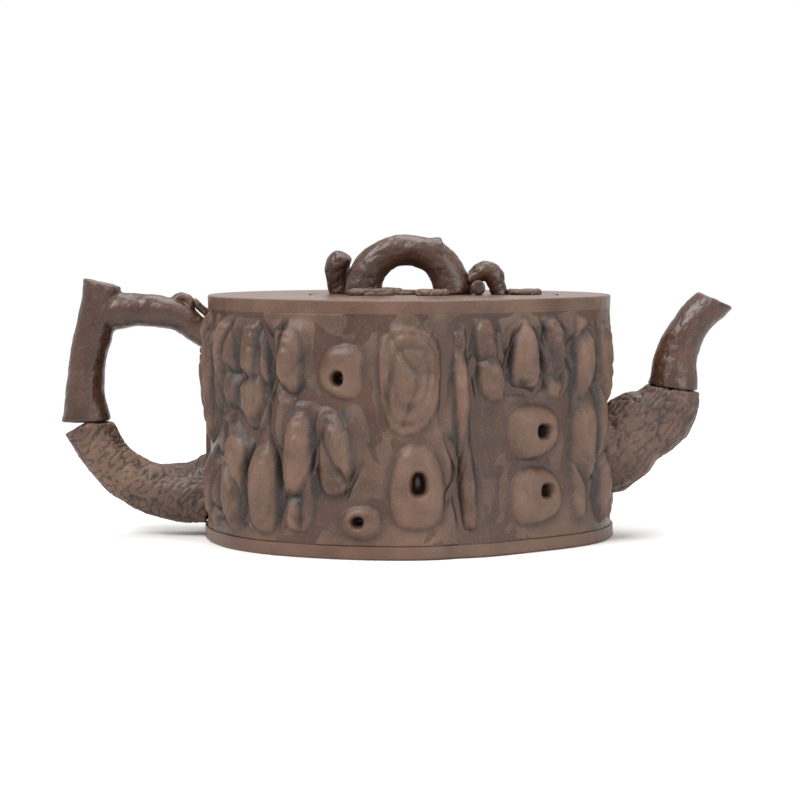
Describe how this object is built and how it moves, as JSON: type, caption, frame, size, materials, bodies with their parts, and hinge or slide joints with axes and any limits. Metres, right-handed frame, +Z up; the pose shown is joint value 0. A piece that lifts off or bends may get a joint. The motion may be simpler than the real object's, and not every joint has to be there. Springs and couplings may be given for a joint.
{
  "type": "yixing teapot",
  "caption": "Unglazed stoneware teapot shaped as a sawn tree stump, with a looped branch handle, a bent branch spout and a flush lid that lifts off by a root-shaped knob.",
  "frame": {"origin": "centre of the flat base, on the table", "axes": "+X towards the spout, +Z up, -Y towards the side with the large burls"},
  "size_m": [0.1848, 0.097, 0.083],
  "materials": {
    "bark_clay": "matte",
    "smooth_clay": "satin",
    "sawn_clay": "satin",
    "burl_clay": "matte"
  },
  "bodies": {
    "pot": {"base_slab": "sawn_clay", "top_slab": "sawn_clay", "trunk_wall": "smooth_clay", "spout_root": "bark_clay", "spout_branch": "smooth_clay", "handle_branch": "smooth_clay", "handle_twig": "smooth_clay", "handle_root": "bark_clay", "lid_seat_ring": "sawn_clay", "spout_strainer": "smooth_clay", "bark_handle_side": "bark_clay", "bark_left_edge_low": "bark_clay", "bark_left_second_high": "bark_clay", "bark_left_second_low": "bark_clay", "bark_left_third_high": "bark_clay", "bark_left_third_low": "bark_clay", "bark_left_fourth_high": "bark_clay", "bark_left_fourth_low": "bark_clay", "bark_left_inner": "bark_clay", "bark_front_centre": "bark_clay", "bark_front_ridge": "bark_clay", "bark_right_first": "bark_clay", "bark_right_second": "bark_clay", "bark_right_third": "bark_clay", "bark_right_edge": "bark_clay", "bark_spout_side": "bark_clay", "bark_back_spout_side": "bark_clay", "bark_back_right_high": "bark_clay", "bark_back_right_low": "bark_clay", "bark_back_centre": "bark_clay", "bark_back_left_high": "bark_clay", "bark_back_left_low": "bark_clay", "bark_back_handle_side": "bark_clay", "handle_bark_flap": "bark_clay", "burl_upper_left": "burl_clay", "burl_lower_left": "burl_clay", "burl_centre": "burl_clay", "burl_right_high": "burl_clay", "burl_right_low": "burl_clay", "burl_back_low": "burl_clay", "burl_back_high": "burl_clay"},
    "lid": {"lid_disc": "sawn_clay", "lid_flange": "sawn_clay", "knob_bridge": "smooth_clay", "knob_stub": "smooth_clay", "knob_twig": "smooth_clay", "knob_twig_end": "smooth_clay", "lid_bark_left_front": "bark_clay", "lid_bark_left_back": "bark_clay", "lid_bark_middle": "bark_clay", "lid_bark_centre_front": "bark_clay", "lid_bark_right_back": "bark_clay", "lid_bark_right": "bark_clay"}
  },
  "joints": [
    {"name": "lid_lift", "type": "slide", "parent": "pot", "child": "lid", "axis": [0, 0, 1], "range_m": [0, 0.06]}
  ]
}
